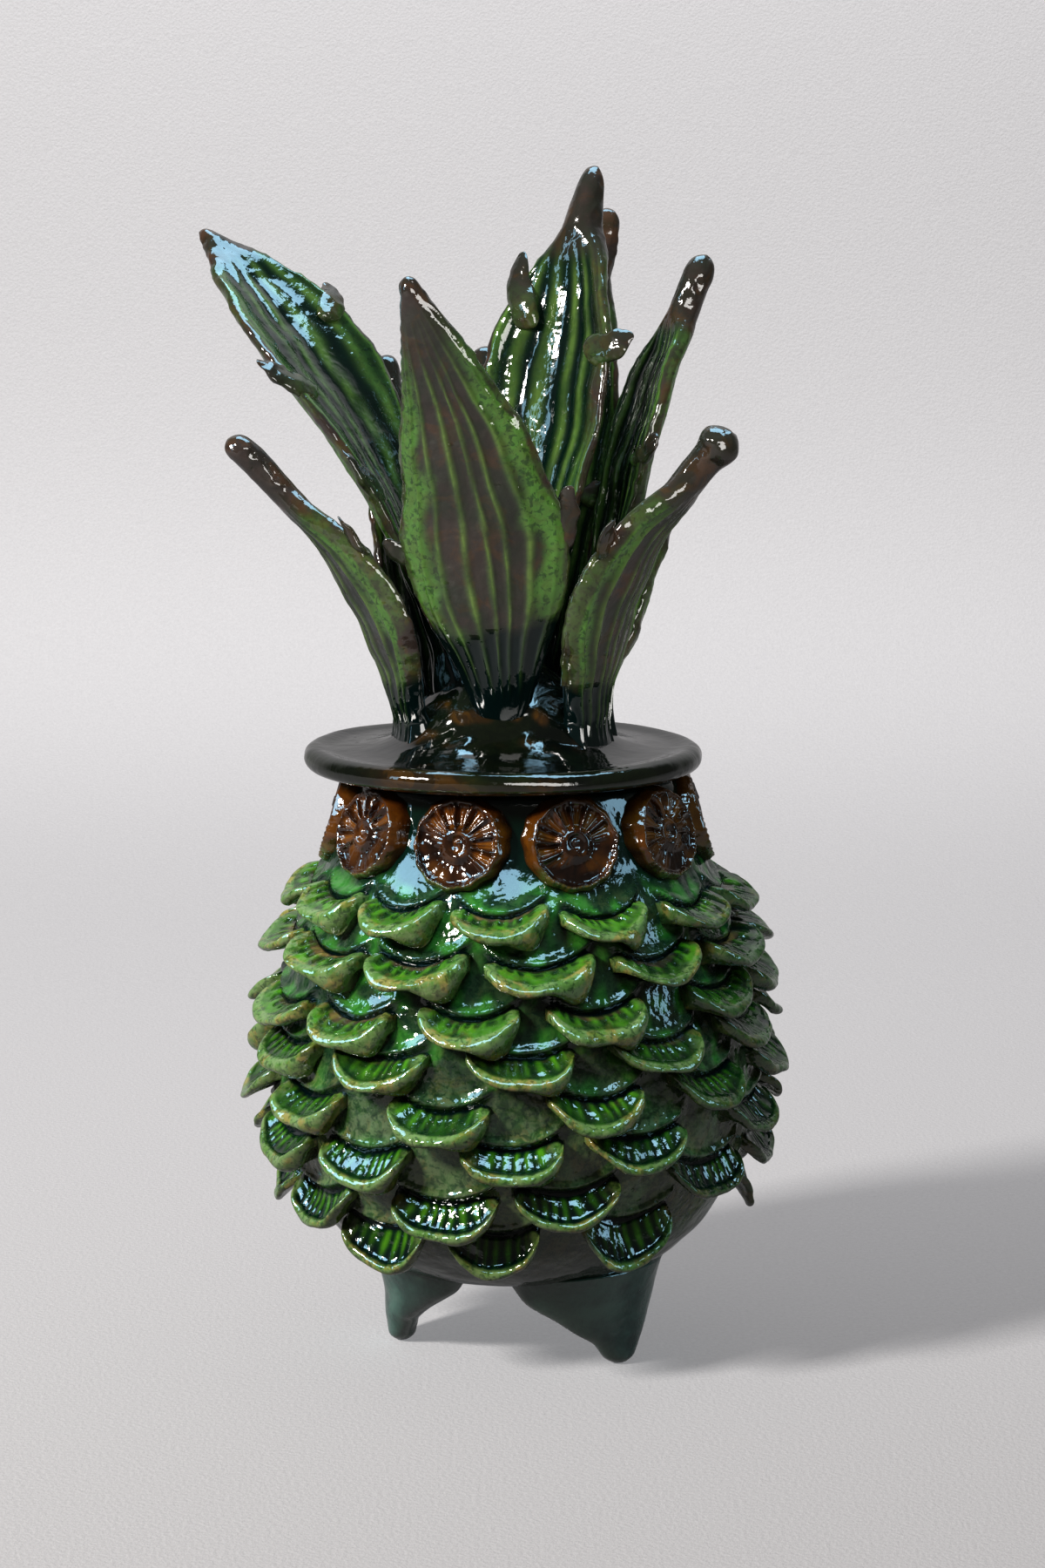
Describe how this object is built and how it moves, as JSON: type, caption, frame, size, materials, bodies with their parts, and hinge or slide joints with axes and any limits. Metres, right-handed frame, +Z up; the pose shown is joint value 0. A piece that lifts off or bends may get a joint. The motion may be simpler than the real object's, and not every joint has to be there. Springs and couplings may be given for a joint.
{
  "type": "pineapple-shaped lidded jar",
  "caption": "Glazed earthenware jar in the form of a pineapple, on short feet, with curled clay scales, a ring of rosettes and a loose lid that carries a crown of leaves.",
  "frame": {"origin": "middle of the bounding box's footprint, leaves included, on the surface that the feet stand on; the pot's own axis is 7.5 mm from it along +X", "axes": "+Z up along the pot's axis, -Y towards the viewer of the picture, +X to that viewer's right"},
  "size_m": [0.1821, 0.1689, 0.3592],
  "materials": {
    "jar_glaze": "glossy copper-green glaze over earthenware",
    "rosette_glaze": "glossy amber-brown glaze over earthenware",
    "lid_glaze": "glossy, nearly black green glaze over earthenware",
    "leaf_glaze": "glossy dark green glaze over earthenware"
  },
  "bodies": {
    "root": {"jar": "jar_glaze", "rosette_01": "rosette_glaze", "rosette_02": "rosette_glaze", "rosette_03": "rosette_glaze", "rosette_04": "rosette_glaze", "rosette_05": "rosette_glaze", "rosette_06": "rosette_glaze", "rosette_07": "rosette_glaze", "rosette_08": "rosette_glaze", "rosette_09": "rosette_glaze", "rosette_10": "rosette_glaze", "lid": "lid_glaze", "leaf_front": "leaf_glaze", "leaf_right": "leaf_glaze", "leaf_left": "leaf_glaze", "leaf_back_left": "leaf_glaze", "leaf_back": "leaf_glaze", "leaf_back_right": "leaf_glaze", "leaf_right_tall": "leaf_glaze", "leaf_high_left": "leaf_glaze", "leaf_high_middle": "leaf_glaze", "leaf_high_back": "leaf_glaze"}
  },
  "joints": []
}
